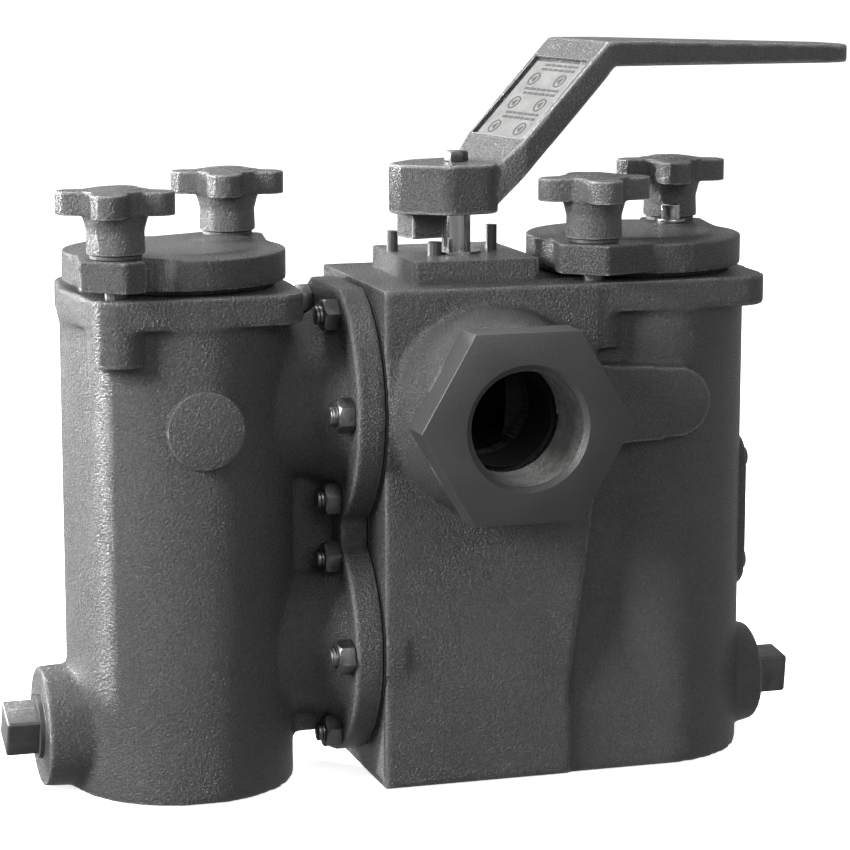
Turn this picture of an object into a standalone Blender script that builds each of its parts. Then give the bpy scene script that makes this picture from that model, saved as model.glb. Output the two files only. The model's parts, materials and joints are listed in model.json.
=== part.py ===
"""Duplex basket strainer with a changeover valve, in metres, +Z up.

The origin is on the base plane, under the valve stem. X runs from the left
basket chamber to the right one, and the front port faces -Y.
"""
import math

import bmesh
import bpy
from mathutils import Matrix, Vector

GAP = 0.0003

CHAMBER_TOP = 0.2095
LEFT_X = -0.122
RIGHT_X = 0.080
CHAMBER_RADIUS = 0.0475
BORE_RADIUS = 0.0385
LOWER_BORE_RADIUS = 0.0345
BASKET_SEAT_Z = 0.128
FLOOR = 0.009
TOP_FLANGE_DEPTH = 0.013

UPPER_Z = 0.1585
LOWER_Z = 0.057
UPPER_LOBE = 0.054
LOWER_LOBE = 0.050
WAIST_HALF = 0.026
JOINT_X = -0.0455
GASKET = 0.0009
LOBE_CROWN = 0.2075
STUD_BOSS = 0.0120
STUD_BOSS_BOTTOM = 0.1820
FLANGE_THICK = 0.012
NECK_RADIUS = 0.033
NECK_BORE = 0.021
WEB_HALF = 0.011
STUD_CIRCLE = 0.0445
LOWER_STUD_CIRCLE = 0.0432
FLANGE_STUD_RADIUS = 0.0040
NUT_FLATS = 0.0127

HOUSING_HALF = 0.049
HOUSING_CORNER = 0.007
PAD_TOP = 0.2184
PORT_FACE = 0.0965
HEX_FLATS = 0.0774
HEX_DEPTH = 0.018
PORT_RADIUS = 0.0240
PORT_MOUTH = 0.02475
PORT_THREAD_DEPTH = 0.034

BALL_RADIUS = 0.029
BALL_BORE = 0.0198
VALVE_BORE = 0.0315
SEAT_INNER = 0.0208
SEAT_OUTER = 0.0260
SEAT_FACE = 0.0282
STEM_RADIUS = 0.00615
STEM_TOP = 0.2497

DRAIN_Z = 0.0257
DRAIN_RADIUS = 0.0255
DRAIN_TIP_RADIUS = {-1: 0.0250, 1: 0.0205}
DRAIN_REACH = {-1: 0.0600, 1: 0.0575}
DRAIN_HOLE = 0.0133
PLUG_HEAD = 0.0119

COVER_STUDS = (0.0313, 0.0364)
COVER_STUD_RADIUS = 0.00476
COVER_RADIUS = 0.0461
COVER_LIP_RADIUS = 0.0425
COVER_BOTTOM = 0.2101
COVER_EDGE_BOTTOM = 0.2118
EAR_BOTTOM = 0.2126
COVER_TOP = 0.2245
EAR_HALF = 0.0130
EAR_REACH = 0.0122
EAR_CORNER = 0.0030
EAR_TOP = 0.2253
SLOT_WIDTH = 0.0106
BOSS_PLACE = (0.0230, 0.0140)

WASHER_THICK = 0.0013
WASHER_RADIUS = 0.0105
KNOB_BOTTOM = EAR_TOP + WASHER_THICK + 2 * GAP
KNOB_ARMS_BOTTOM = 0.2424
KNOB_ARMS_TOP = 0.2528
KNOB_TOP = 0.2544
KNOB_STEM_RADIUS = 0.0119
KNOB_REACH = 0.0240
ARM_ROOT = 0.0088
LOBE_RADIUS = 0.0070

PIN_PLACES = (
    (-0.0245, 0.0125, 0.0025, 0.2270),
    (0.0180, 0.0072, 0.0025, 0.2290),
    (-0.0117, -0.0071, 0.0030, 0.2240),
)

LEVER_ANGLE = math.radians(12.0)
HUB_BOTTOM = 0.2360
HUB_TOP = 0.2570
LEVER_TOP = 0.3070
LEVER_TIP_TOP = 0.3022
LEVER_REACH = 0.1940
LEVER_HALF = 0.0250
ARM_FOOT = (0.0090, HUB_TOP - 0.0005)
ARM_HEAD = (0.0590, LEVER_TOP - 0.0010)
LUG_BOTTOM = 0.2248
CLAMP_RADIUS = 0.0030
CLAMP_FLATS = 0.0090
CLAMP_TOP = 0.2614
LABEL_MIDDLE = 0.0375
LABEL_HALF_LONG = 0.0212
LABEL_HALF_WIDE = 0.0195
LABEL_DEPTH = 0.0009
LABEL_THICK = 0.0006
LABEL_GROW = 0.0004

STEEL = ("machined_steel", (0.62, 0.62, 0.61), 0.28, 1.0)
BOLT = ("plated_steel", (0.36, 0.36, 0.36), 0.42, 0.9)
IRON = ("painted_iron", (0.10, 0.10, 0.10), 0.52, 0.0)
RUBBER = ("rubber", (0.02, 0.02, 0.02), 0.75, 0.0)
FIBRE = ("gasket_fibre", (0.06, 0.06, 0.055), 0.85, 0.0)
POLYMER = ("seat_polymer", (0.05, 0.05, 0.048), 0.45, 0.0)
STAINLESS = ("stainless", (0.58, 0.58, 0.57), 0.33, 1.0)
LABEL = ("label_plate", (0.70, 0.70, 0.68), 0.40, 0.3)


def clear_scene():
    for item in list(bpy.data.objects):
        bpy.data.objects.remove(item, do_unlink=True)


def material_for(spec):
    name, colour, roughness, metallic = spec
    found = bpy.data.materials.get(name)
    if found:
        return found
    made = bpy.data.materials.new(name)
    made.use_nodes = True
    shader = made.node_tree.nodes["Principled BSDF"]
    shader.inputs["Base Color"].default_value = (*colour, 1.0)
    shader.inputs["Roughness"].default_value = roughness
    shader.inputs["Metallic"].default_value = metallic
    return made


def object_from(bm, name, spec=IRON):
    """Turn a bmesh into a linked object with outward faces."""
    bmesh.ops.remove_doubles(bm, verts=bm.verts, dist=0.000005)
    bmesh.ops.recalc_face_normals(bm, faces=bm.faces)
    mesh = bpy.data.meshes.new(name)
    bm.to_mesh(mesh)
    bm.free()
    made = bpy.data.objects.new(name, mesh)
    mesh.materials.append(material_for(spec))
    bpy.context.collection.objects.link(made)
    return made


def extrude_outline(points, direction, name="piece", spec=IRON):
    """Close an outline of 3-D points and push it along a vector."""
    bm = bmesh.new()
    face = bm.faces.new([bm.verts.new(point) for point in points])
    pushed = bmesh.ops.extrude_face_region(bm, geom=[face])
    moved = [item for item in pushed["geom"] if isinstance(item, bmesh.types.BMVert)]
    bmesh.ops.translate(bm, verts=moved, vec=direction)
    return object_from(bm, name, spec)


def circle(radius, segments, centre=(0.0, 0.0), start=0.0):
    steps = (start + 2 * math.pi * i / segments for i in range(segments))
    return [(centre[0] + radius * math.cos(a), centre[1] + radius * math.sin(a)) for a in steps]


def arc(radius, centre, start, end, steps):
    angles = (math.radians(start + (end - start) * i / steps) for i in range(steps + 1))
    return [(centre[0] + radius * math.cos(a), centre[1] + radius * math.sin(a)) for a in angles]


def hull_of_circles(circles, segments=32):
    """Outline that a tight band would take around several circles of (x, y, radius)."""
    points = [p for x, y, r in circles for p in circle(r, segments, (x, y))]
    points = sorted(set((round(x, 6), round(y, 6)) for x, y in points))

    def half(run):
        chain = []
        for point in run:
            while len(chain) > 1 and turn(chain[-2], chain[-1], point) <= 1e-9:
                chain.pop()
            chain.append(point)
        return chain[:-1]

    return half(points) + half(reversed(points))


def turn(a, b, c):
    return (b[0] - a[0]) * (c[1] - a[1]) - (b[1] - a[1]) * (c[0] - a[0])


def prism_z(outline, bottom, top, name="piece", spec=IRON):
    return extrude_outline([(x, y, bottom) for x, y in outline], (0, 0, top - bottom), name, spec)


def prism_y(outline, front, back, name="piece", spec=IRON):
    return extrude_outline([(x, front, z) for x, z in outline], (0, back - front, 0), name, spec)


def prism_x(outline, left, right, name="piece", spec=IRON):
    return extrude_outline([(left, y, z) for y, z in outline], (right - left, 0, 0), name, spec)


def box(low, high, name="piece", spec=IRON):
    outline = [(low[0], low[1]), (high[0], low[1]), (high[0], high[1]), (low[0], high[1])]
    return prism_z(outline, low[2], high[2], name, spec)


AXES = {
    "X": Matrix.Rotation(math.radians(90), 4, "Y"),
    "Y": Matrix.Rotation(math.radians(-90), 4, "X"),
    "Z": Matrix.Identity(4),
}


def turned(profile, axis="Z", centre=(0, 0, 0), segments=32, name="piece", spec=IRON):
    """Spin a profile of (radius, height) pairs about an axis through a centre.

    A profile that starts and ends at radius 0 is solid, with flat ends. Any
    other profile is closed on itself and makes a ring.
    """
    bm = bmesh.new()
    place = Matrix.Translation(Vector(centre)) @ AXES[axis]
    rings = []
    for radius, height in profile:
        if radius > 0:
            points = circle(radius, segments)
            rings.append([bm.verts.new(place @ Vector((x, y, height))) for x, y in points])
    pairs = list(zip(rings, rings[1:]))
    if profile[0][0] == 0:
        bm.faces.new(rings[0])
        bm.faces.new(rings[-1])
    else:
        pairs.append((rings[-1], rings[0]))
    for low, high in pairs:
        for i in range(segments):
            j = (i + 1) % segments
            bm.faces.new([low[i], low[j], high[j], high[i]])
    return object_from(bm, name, spec)


def rod(radius, start, end, axis="Z", centre=(0, 0, 0), segments=32, name="piece", spec=IRON):
    profile = [(0, start), (radius, start), (radius, end), (0, end)]
    return turned(profile, axis, centre, segments, name, spec)


def ring(inner, outer, start, end, axis="Z", centre=(0, 0, 0), segments=32, name="piece", spec=IRON):
    profile = [(inner, start), (outer, start), (outer, end), (inner, end)]
    return turned(profile, axis, centre, segments, name, spec)


def torus(major, minor, centre, name, spec, segments=36, sides=6):
    profile = [(major + x, z) for x, z in circle(minor, sides)]
    return turned(profile, "Z", centre, segments, name, spec)


def combine(target, others, operation):
    """Apply a Boolean with each other object in turn and drop those objects."""
    for other in others:
        step = target.modifiers.new("boolean", "BOOLEAN")
        step.operation = operation
        step.object = other
        step.solver = "EXACT"
        seen = bpy.context.evaluated_depsgraph_get()
        mesh = bpy.data.meshes.new_from_object(target.evaluated_get(seen))
        target.modifiers.clear()
        target.data = mesh
        bpy.data.objects.remove(other, do_unlink=True)
    return target


def join(target, *others):
    return combine(target, others, "UNION")


def cut(target, *others):
    return combine(target, others, "DIFFERENCE")


def finish(item, sharp=35):
    """Shade the round faces smooth and keep the corners crisp."""
    item.data.shade_smooth()
    item.data.set_sharp_from_angle(angle=math.radians(sharp))
    return item


def hexagon(flats, centre=(0, 0), start=0.0):
    return circle(flats / 2 / math.cos(math.pi / 6), 6, centre, start)


def stud_places(centre_x):
    """Front left stud, then rear right stud, of one chamber."""
    x, y = COVER_STUDS
    return [(centre_x - x, -y), (centre_x + x, y)]


def top_flange_outline(centre_x):
    circles = [(x, y, 0.0120) for x, y in stud_places(centre_x)]
    circles.append((centre_x, 0.0, 0.0482))
    circles.append((centre_x + 0.033, -0.033, 0.013))
    circles.append((centre_x - 0.0305, 0.0305, 0.014))
    return hull_of_circles(circles, 24)


def lobe_plate(left, right, trim=0.0):
    """Figure-eight plate between two X planes, smaller all round by trim."""
    upper = UPPER_LOBE - trim
    lower = LOWER_LOBE - trim
    upper_cut = math.degrees(math.asin((WAIST_HALF - trim) / upper))
    lower_cut = math.degrees(math.asin((WAIST_HALF - trim) / lower))
    outline = arc(upper, (0, UPPER_Z), upper_cut - 90, 270 - upper_cut, 26)
    outline += arc(lower, (0, LOWER_Z), 90 + lower_cut, 450 - lower_cut, 26)
    crown = LOBE_CROWN - trim
    return prism_x([(y, min(z, crown)) for y, z in outline], left, right)


def flange_stud_places():
    """(y, z) of the twelve joint studs, six around each lobe."""
    places = []
    for height, radius in ((UPPER_Z, STUD_CIRCLE), (LOWER_Z, LOWER_STUD_CIRCLE)):
        for y, z in circle(radius, 6, (0, height)):
            places.append((y, z))
    return places


def chamber_cutters(centre_x, side):
    """Bore with its basket ledge, cover stud holes, ring groove and drain hole."""
    middle = (centre_x, 0, 0)
    cutters = [
        rod(BORE_RADIUS, BASKET_SEAT_Z, CHAMBER_TOP + 0.01, "Z", middle, 32),
        rod(LOWER_BORE_RADIUS, FLOOR, BASKET_SEAT_Z + 0.001, "Z", middle, 32),
        ring(0.0393, 0.0423, CHAMBER_TOP - 0.0026, CHAMBER_TOP + 0.001, "Z", middle, 32),
    ]
    for x, y in stud_places(centre_x):
        cutters.append(rod(COVER_STUD_RADIUS + GAP, 0.191, CHAMBER_TOP + 0.01, "Z", (x, y, 0), 16))
    start, end = sorted((centre_x + side * 0.030, centre_x + side * 0.070))
    cutters.append(rod(DRAIN_HOLE, start, end, "X", (0, 0, DRAIN_Z), 24))
    return cutters


def stud_bosses(centre_x):
    """Round bosses under the top flange that take the ends of the cover studs."""
    places = stud_places(centre_x)
    return [rod(STUD_BOSS, STUD_BOSS_BOTTOM, CHAMBER_TOP - 0.002, "Z", (x, y, 0), 20) for x, y in places]


def drain_boss(centre_x, side):
    """Low outer boss; the right one narrows towards its face."""
    root = centre_x + side * 0.029
    shoulder = centre_x + side * 0.0484
    face = centre_x + side * DRAIN_REACH[side]
    tip = DRAIN_TIP_RADIUS[side]
    profile = [(0, root), (DRAIN_RADIUS, root), (DRAIN_RADIUS, shoulder), (tip, face), (0, face)]
    return turned(profile, "X", (0, 0, DRAIN_Z), 36)


def housing_block():
    """Flat-fronted valve housing, narrower at its foot, with rounded left corners."""
    outline = [(JOINT_X, 0.0), (0.0355, 0.0), (0.0362, 0.0420), (0.0465, 0.1240)]
    outline += [(0.0465, CHAMBER_TOP), (JOINT_X, CHAMBER_TOP)]
    block = prism_y(outline, -HOUSING_HALF, HOUSING_HALF)
    bm = bmesh.new()
    bm.from_mesh(block.data)
    upright = [e for e in bm.edges if is_left_upright(e)]
    bmesh.ops.bevel(
        bm, geom=upright, offset=HOUSING_CORNER, segments=4, profile=0.5, affect="EDGES"
    )
    bm.to_mesh(block.data)
    bm.free()
    return block


def is_left_upright(edge):
    low, high = (vert.co for vert in edge.verts)
    along = abs(low.z - high.z) > 0.1
    return along and abs(low.x - JOINT_X) < 1e-5 and abs(high.x - JOINT_X) < 1e-5


def port(side, height):
    """Conical bulge and hexagon of a pipe port on the front (-1) or the rear (1)."""
    near = HOUSING_HALF - 0.006
    back = PORT_FACE - HEX_DEPTH
    profile = [(0, side * near), (0.0440, side * near), (0.0392, side * (back + 0.002))]
    profile.append((0, side * (back + 0.002)))
    if side < 0:
        profile.reverse()
    bulge = turned(profile, "Y", (0, 0, height), 30)
    ends = sorted((side * back, side * PORT_FACE))
    hexagonal = prism_y(hexagon(HEX_FLATS, (0, height)), ends[0], ends[1])
    return join(bulge, hexagonal)


def port_cutters(side, height):
    """Tapered mouth, threaded length and clear bore of a pipe port."""
    outside = side * (PORT_FACE + 0.001)
    chamfer = side * (PORT_FACE - 0.002)
    thread_end = side * (PORT_FACE - PORT_THREAD_DEPTH)
    mouth = [(0, outside), (PORT_MOUTH + 0.0005, outside), (PORT_RADIUS, chamfer)]
    mouth += [(PORT_RADIUS, thread_end), (0, thread_end)]
    if side > 0:
        mouth.reverse()
    start, end = sorted((0.0, side * (PORT_FACE - PORT_THREAD_DEPTH + 0.001)))
    return [
        turned(mouth, "Y", (0, 0, height), 30),
        rod(NECK_BORE, start, end, "Y", (0, 0, height), 28),
    ]


def valve_cutters(height):
    """Ball chamber entered from the joint face, its right-hand seat and the passage."""
    return [
        rod(VALVE_BORE, JOINT_X - 0.005, 0.0145, "X", (0, 0, height), 30),
        rod(SEAT_OUTER + GAP, 0.010, SEAT_FACE + GAP, "X", (0, 0, height), 28),
        rod(NECK_BORE, 0.020, RIGHT_X, "X", (0, 0, height), 28),
    ]


def stem_cutters():
    stem_hole = STEM_RADIUS + GAP
    return [
        rod(stem_hole, UPPER_Z, PAD_TOP + 0.005, "Z", (0, 0, 0), 24),
        rod(0.0095, 0.2015, 0.2051, "Z", (0, 0, 0), 24),
        rod(0.0105, 0.2050, PAD_TOP + 0.005, "Z", (0, 0, 0), 24),
        rod(0.0090, LOWER_Z, UPPER_Z, "Z", (0, 0, 0), 24),
        rod(0.0062, 0.0135, LOWER_Z, "Z", (0, 0, 0), 24),
    ]


def passage_tongue():
    """Rib in front of the passage from the upper valve to the right chamber."""
    outline = [(0.030, 0.1760), (0.082, 0.1740), (0.0895, 0.1705), (0.0945, 0.1620)]
    outline += [(0.0960, 0.1500), (0.0915, 0.1450), (0.083, 0.1430), (0.030, 0.1400)]
    return prism_y(outline, -0.0535, -0.020)


def side_pad():
    """Flat round-ended pad on the outer side of the right chamber, with two screw heads."""
    outer = RIGHT_X + CHAMBER_RADIUS
    middle = -0.0040
    heights = (0.1240, 0.0780)
    outline = hull_of_circles([(middle, height, 0.0105) for height in heights], 14)
    made = [prism_x(outline, outer - 0.0100, outer + 0.0020)]
    for height in heights:
        made.append(rod(0.0045, outer - 0.0080, outer + 0.0050, "X", (0, middle, height), 14))
    return made


def build_main_body():
    body = housing_block()
    web = box((0.030, -0.0430, 0.0), (RIGHT_X - 0.012, 0.0430, CHAMBER_TOP - 0.001))
    chamber = rod(CHAMBER_RADIUS, 0.0, CHAMBER_TOP - 0.002, "Z", (RIGHT_X, 0, 0), 40)
    flange = prism_z(top_flange_outline(RIGHT_X), CHAMBER_TOP - TOP_FLANGE_DEPTH, CHAMBER_TOP)
    corners = [(x, y, 0.003) for x in (-0.0245, 0.0245) for y in (-0.028, 0.032)]
    pad = prism_z(hull_of_circles(corners, 12), CHAMBER_TOP - 0.002, PAD_TOP)
    lobes = lobe_plate(JOINT_X, JOINT_X + 0.009)
    join(body, web, chamber, flange, pad, lobes, passage_tongue(), drain_boss(RIGHT_X, 1))
    join(body, *stud_bosses(RIGHT_X))
    join(body, port(-1, UPPER_Z), port(1, LOWER_Z), *side_pad())
    cut(body, *chamber_cutters(RIGHT_X, 1))
    cut(body, *valve_cutters(UPPER_Z), *valve_cutters(LOWER_Z), *stem_cutters())
    cut(body, *port_cutters(-1, UPPER_Z), *port_cutters(1, LOWER_Z))
    for y, z in flange_stud_places():
        cut(body, rod(FLANGE_STUD_RADIUS + GAP, JOINT_X - 0.002, JOINT_X + 0.0125, "X", (0, y, z), 10))
    for x, y, radius, top in PIN_PLACES:
        cut(body, rod(radius + GAP, PAD_TOP - 0.006, PAD_TOP + 0.002, "Z", (x, y, 0), 12))
    body.name = "main_body"
    return finish(body)


def build_left_chamber():
    chamber = rod(CHAMBER_RADIUS, 0.0, CHAMBER_TOP - 0.002, "Z", (LEFT_X, 0, 0), 40)
    flange = prism_z(top_flange_outline(LEFT_X), CHAMBER_TOP - TOP_FLANGE_DEPTH, CHAMBER_TOP)
    plate_right = JOINT_X - GASKET
    plate = lobe_plate(plate_right - FLANGE_THICK, plate_right)
    join(chamber, flange, plate, drain_boss(LEFT_X, -1), *stud_bosses(LEFT_X))
    for height in (UPPER_Z, LOWER_Z):
        join(chamber, rod(NECK_RADIUS, LEFT_X + 0.02, plate_right - 0.004, "X", (0, 0, height), 30))
    join(chamber, box((LEFT_X + 0.025, -WEB_HALF, 0.017), (plate_right - 0.003, WEB_HALF, 0.190)))
    join(chamber, rod(0.0163, -0.0505, -0.030, "Y", (LEFT_X + 0.0015, 0, 0.1560), 40))
    cut(chamber, *chamber_cutters(LEFT_X, -1))
    for height in (UPPER_Z, LOWER_Z):
        cut(chamber, rod(NECK_BORE, LEFT_X, JOINT_X, "X", (0, 0, height), 28))
    hole_left = plate_right - FLANGE_THICK - 0.001
    for y, z in flange_stud_places():
        cut(chamber, rod(FLANGE_STUD_RADIUS + GAP, hole_left, JOINT_X, "X", (0, y, z), 10))
    chamber.name = "left_chamber"
    return finish(chamber)


def build_gasket():
    half = GAP / 2
    plate = lobe_plate(JOINT_X - GASKET + half, JOINT_X - half, trim=0.0008)
    for height in (UPPER_Z, LOWER_Z):
        cut(plate, rod(0.0320, JOINT_X - 0.01, JOINT_X + 0.01, "X", (0, 0, height), 28))
    for y, z in flange_stud_places():
        cut(plate, rod(FLANGE_STUD_RADIUS + GAP, JOINT_X - 0.01, JOINT_X + 0.01, "X", (0, y, z), 10))
    plate.name = "flange_gasket"
    plate.data.materials.clear()
    plate.data.materials.append(material_for(FIBRE))
    return plate


def build_flange_studs():
    nut_left = JOINT_X - GASKET - FLANGE_THICK - GAP - 0.0066
    for index, (y, z) in enumerate(flange_stud_places()):
        name = f"flange_stud_{index + 1:02d}"
        middle = (0, y, z)
        stud = rod(FLANGE_STUD_RADIUS, nut_left - 0.0028, JOINT_X + 0.0120, "X", middle, 12, name, BOLT)
        outline = hexagon(NUT_FLATS, (y, z), 0.25 * (index % 3))
        join(stud, prism_x(outline, nut_left, nut_left + 0.0066, "nut", BOLT))


def ear_outline(x, y):
    """Square-ended ear that runs from the middle of the cover out past a stud."""
    out = Vector((x, y)).normalized()
    side = Vector((-out.y, out.x))
    circles = [(0, 0, 0.040)]
    for along in (-0.004, EAR_REACH - EAR_CORNER):
        for across in (EAR_CORNER - EAR_HALF, EAR_HALF - EAR_CORNER):
            corner = Vector((x, y)) + out * along + side * across
            circles.append((corner.x, corner.y, EAR_CORNER))
    return hull_of_circles(circles, 24)


def build_cover(centre_x, side, name):
    """Cover with a closed ear at side * the stud place and an open hook opposite.

    The hinge empty stands on the closed ear's stud, and the cover hangs from it.
    """
    x, y = COVER_STUDS
    pivot = Vector((centre_x + side * x, side * y, 0))
    profile = [(0, COVER_BOTTOM), (COVER_LIP_RADIUS, COVER_BOTTOM), (COVER_LIP_RADIUS, COVER_EDGE_BOTTOM)]
    profile += [(COVER_RADIUS, COVER_EDGE_BOTTOM + 0.0004), (COVER_RADIUS, COVER_TOP - 0.0015)]
    profile += [(COVER_RADIUS - 0.0015, COVER_TOP), (0, COVER_TOP)]
    disc = turned(profile, "Z", (0, 0, 0), 36, name)
    for direction in (1, -1):
        ear = ear_outline(direction * x, direction * y)
        join(disc, prism_z(ear, EAR_BOTTOM, EAR_TOP))
    boss = (side * BOSS_PLACE[0], side * BOSS_PLACE[1], 0)
    join(disc, rod(0.0120, COVER_TOP - 0.004, COVER_TOP + 0.0022, "Z", boss, 24))
    cut(disc, rod(COVER_STUD_RADIUS + 0.0004, 0.20, 0.24, "Z", (x, y, 0), 20))
    cut(disc, rod(SLOT_WIDTH / 2, 0.20, 0.24, "Z", (-x, -y, 0), 20))
    span = 2 * math.hypot(x, y)
    start = math.degrees(math.atan2(-y, -x))
    slot = arc(span + SLOT_WIDTH / 2, (x, y), start, start + 22, 8)
    slot += arc(span - SLOT_WIDTH / 2, (x, y), start + 22, start, 8)
    cut(disc, prism_z(slot, 0.20, 0.24))
    if name == "right_cover":
        cut(disc, rod(0.0052, COVER_BOTTOM - 0.001, 0.24, "Z", boss, 20))
    hinge = bpy.data.objects.new(f"{name}_hinge", None)
    bpy.context.collection.objects.link(hinge)
    hinge.location = pivot
    turned_round = Matrix.Rotation(0.0 if side > 0 else math.pi, 4, "Z")
    disc.data.transform(Matrix.Translation(Vector((centre_x, 0, 0)) - pivot) @ turned_round)
    disc.parent = hinge
    return finish(disc)


def build_vent_plug():
    """Square-headed plug in the boss of the right cover."""
    x = RIGHT_X + BOSS_PLACE[0]
    y = BOSS_PLACE[1]
    plug = rod(0.0049, COVER_BOTTOM + 0.001, COVER_TOP + 0.0030, "Z", (x, y, 0), 20, "vent_plug", STEEL)
    head = prism_z(circle(0.0050, 4, (x, y), math.radians(30)), COVER_TOP + 0.0028, 0.2345, "head", STEEL)
    collar = rod(0.0062, COVER_TOP + 0.0026, COVER_TOP + 0.0040, "Z", (x, y, 0), 20, "collar", STEEL)
    return finish(join(plug, collar, head))


def build_cover_ring(centre_x, name):
    return torus(0.0408, 0.0012, (centre_x, 0, CHAMBER_TOP - 0.0010), name, RUBBER)


def build_cover_stud(x, y, name):
    return rod(COVER_STUD_RADIUS, 0.1915, 0.2460, "Z", (x, y, 0), 16, name, BOLT)


def build_washer(x, y, name):
    lift = bpy.data.objects.new(f"{name}_slide", None)
    bpy.context.collection.objects.link(lift)
    lift.location = (x, y, 0)
    bottom = EAR_TOP + GAP
    top = bottom + WASHER_THICK
    hole = COVER_STUD_RADIUS + GAP
    made = ring(hole, WASHER_RADIUS, bottom, top, "Z", (0, 0, 0), 24, name, BOLT)
    made.parent = lift
    return made


def build_knob(x, y, angle, name):
    """Four-armed hand knob with a blind threaded hole, its origin on the stud."""
    neck = [(0, KNOB_BOTTOM), (KNOB_STEM_RADIUS, KNOB_BOTTOM), (0.0115, KNOB_ARMS_BOTTOM - 0.003)]
    neck += [(0.0135, KNOB_ARMS_BOTTOM), (0.0138, KNOB_ARMS_TOP), (0.0095, KNOB_TOP - 0.0008), (0, KNOB_TOP)]
    knob = turned(neck, "Z", (0, 0, 0), 24, name)
    for index in range(4):
        direction = angle + index * math.pi / 2
        reach = KNOB_REACH - LOBE_RADIUS
        tip = (reach * math.cos(direction), reach * math.sin(direction), LOBE_RADIUS)
        arm = hull_of_circles([(0, 0, ARM_ROOT), tip], 10)
        join(knob, prism_z(arm, KNOB_ARMS_BOTTOM + 0.0004, KNOB_ARMS_TOP - 0.0004))
    cut(knob, rod(COVER_STUD_RADIUS + GAP, KNOB_BOTTOM - 0.001, 0.2485, "Z", (0, 0, 0), 16))
    knob.location = (x, y, 0)
    return finish(knob)


def build_basket(centre_x, name):
    """Round cup that hangs by its rim on the chamber's ledge."""
    rim = BASKET_SEAT_Z + GAP
    outer = LOWER_BORE_RADIUS - 0.0035
    inner = outer - 0.0012
    lip = BORE_RADIUS - 0.0010
    profile = [(0, 0.0185), (outer, 0.0185), (outer, rim), (lip, rim), (lip, rim + 0.0022)]
    profile += [(inner, rim + 0.0022), (inner, 0.0200), (0, 0.0200)]
    return finish(turned(profile, "Z", (centre_x, 0, 0), 32, name, STAINLESS))


def build_bail(centre_x, name):
    """Wire handle bent over the basket's mouth."""
    half = LOWER_BORE_RADIUS
    foot = BASKET_SEAT_Z + 0.0022 + 2 * GAP
    shoulder = 0.165
    curve = bpy.data.curves.new(name, "CURVE")
    curve.dimensions = "3D"
    curve.bevel_depth = 0.0016
    curve.bevel_resolution = 2
    curve.use_fill_caps = True
    points = [(half, foot)]
    for step in range(13):
        a = math.pi * step / 12
        points.append((half * math.cos(a), shoulder + 0.030 * math.sin(a)))
    points.append((-half, foot))
    line = curve.splines.new("POLY")
    line.points.add(len(points) - 1)
    for point, (y, z) in zip(line.points, points):
        point.co = (centre_x, y, z, 1.0)
    made = bpy.data.objects.new(name, curve)
    curve.materials.append(material_for(STAINLESS))
    bpy.context.collection.objects.link(made)
    return made


def build_drain_plug(centre_x, side, name):
    """Square-headed pipe plug along X in the low outer boss."""
    face = centre_x + side * DRAIN_REACH[side]
    inner = face - side * 0.017
    collar = face + side * 0.0016
    tip = face + side * 0.0150
    ends = sorted((inner, collar))
    plug = rod(DRAIN_HOLE - GAP, ends[0], ends[1], "X", (0, 0, DRAIN_Z), 24, name)
    ends = sorted((collar - side * 0.001, tip))
    tilt = math.radians(69 if side < 0 else 52)
    head = prism_x(circle(PLUG_HEAD, 4, (0, DRAIN_Z), tilt), ends[0], ends[1])
    return finish(join(plug, head))


def rotor_empty():
    made = bpy.data.objects.new("valve_axis", None)
    bpy.context.collection.objects.link(made)
    return made


def build_ball(height, name, axis):
    """Three-way ball: straight through along Y with a branch to +X."""
    steps = [math.pi * i / 12 for i in range(13)]
    profile = [(BALL_RADIUS * math.sin(a), -BALL_RADIUS * math.cos(a)) for a in steps]
    profile[0] = (0, -BALL_RADIUS)
    profile[-1] = (0, BALL_RADIUS)
    ball = turned(profile, "Z", (0, 0, height), 24, name, STAINLESS)
    cut(ball, rod(BALL_BORE, -0.04, 0.04, "Y", (0, 0, height), 24))
    cut(ball, rod(BALL_BORE, 0.0, 0.04, "X", (0, 0, height), 24))
    ball.parent = axis
    return finish(ball)


def build_rotor(axis):
    build_ball(UPPER_Z, "upper_ball", axis)
    build_ball(LOWER_Z, "lower_ball", axis)
    ball_top = BALL_RADIUS + GAP
    parts = [
        rod(STEM_RADIUS, UPPER_Z + ball_top, STEM_TOP, "Z", (0, 0, 0), 24, "valve_stem", STEEL),
        rod(0.0080, LOWER_Z + ball_top, UPPER_Z - ball_top, "Z", (0, 0, 0), 24, "ball_link", STAINLESS),
        rod(0.0058, 0.0140, LOWER_Z - ball_top, "Z", (0, 0, 0), 24, "lower_trunnion", STAINLESS),
    ]
    for part in parts:
        part.parent = axis
        finish(part)


def build_seats():
    """Polymer rings that the balls turn against, and the retainers on the joint side."""
    slope = [(SEAT_INNER, 0.0212), (SEAT_INNER, SEAT_FACE), (SEAT_OUTER, SEAT_FACE), (SEAT_OUTER, 0.0139)]
    for level, height in (("upper", UPPER_Z), ("lower", LOWER_Z)):
        turned(slope, "X", (0, 0, height), 28, f"{level}_seat_right", POLYMER)
        mirrored = [(radius, -along) for radius, along in slope]
        turned(mirrored, "X", (0, 0, height), 28, f"{level}_seat_left", POLYMER)
        shell = [(NECK_BORE, JOINT_X + GAP), (VALVE_BORE - GAP, JOINT_X + GAP)]
        shell += [(VALVE_BORE - GAP, -0.0145), (SEAT_OUTER + GAP, -0.0145)]
        shell += [(SEAT_OUTER + GAP, -SEAT_FACE - GAP), (NECK_BORE, -SEAT_FACE - GAP)]
        turned(shell, "X", (0, 0, height), 28, f"{level}_seat_retainer", STAINLESS)


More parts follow.
